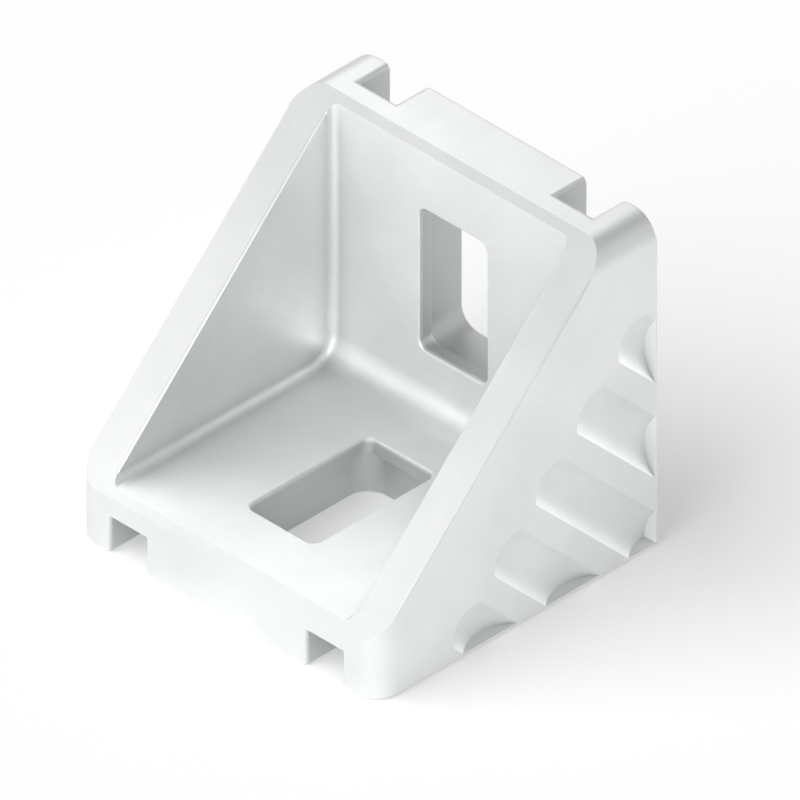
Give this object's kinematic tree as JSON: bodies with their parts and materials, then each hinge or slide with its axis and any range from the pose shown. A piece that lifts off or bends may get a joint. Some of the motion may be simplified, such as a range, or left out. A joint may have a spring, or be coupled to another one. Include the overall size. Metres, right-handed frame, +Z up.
{
  "type": "angle bracket",
  "caption": "Cast right-angle bracket with a triangular pocket, a bolt slot in each leg, channelled mounting faces and fluted side walls.",
  "frame": {"origin": "middle of the footprint, on the plane of the base mounting face", "axes": "+X across the bracket, +Y from the base leg's free end to the heel, +Z up along the upright leg; base_face looks down and back_face looks along +Y"},
  "size_m": [0.0428, 0.04, 0.04],
  "materials": {
    "cast_aluminium": "satin, fine blasted die-cast skin"
  },
  "bodies": {
    "root": {"angle_bracket": "cast_aluminium"}
  },
  "joints": []
}
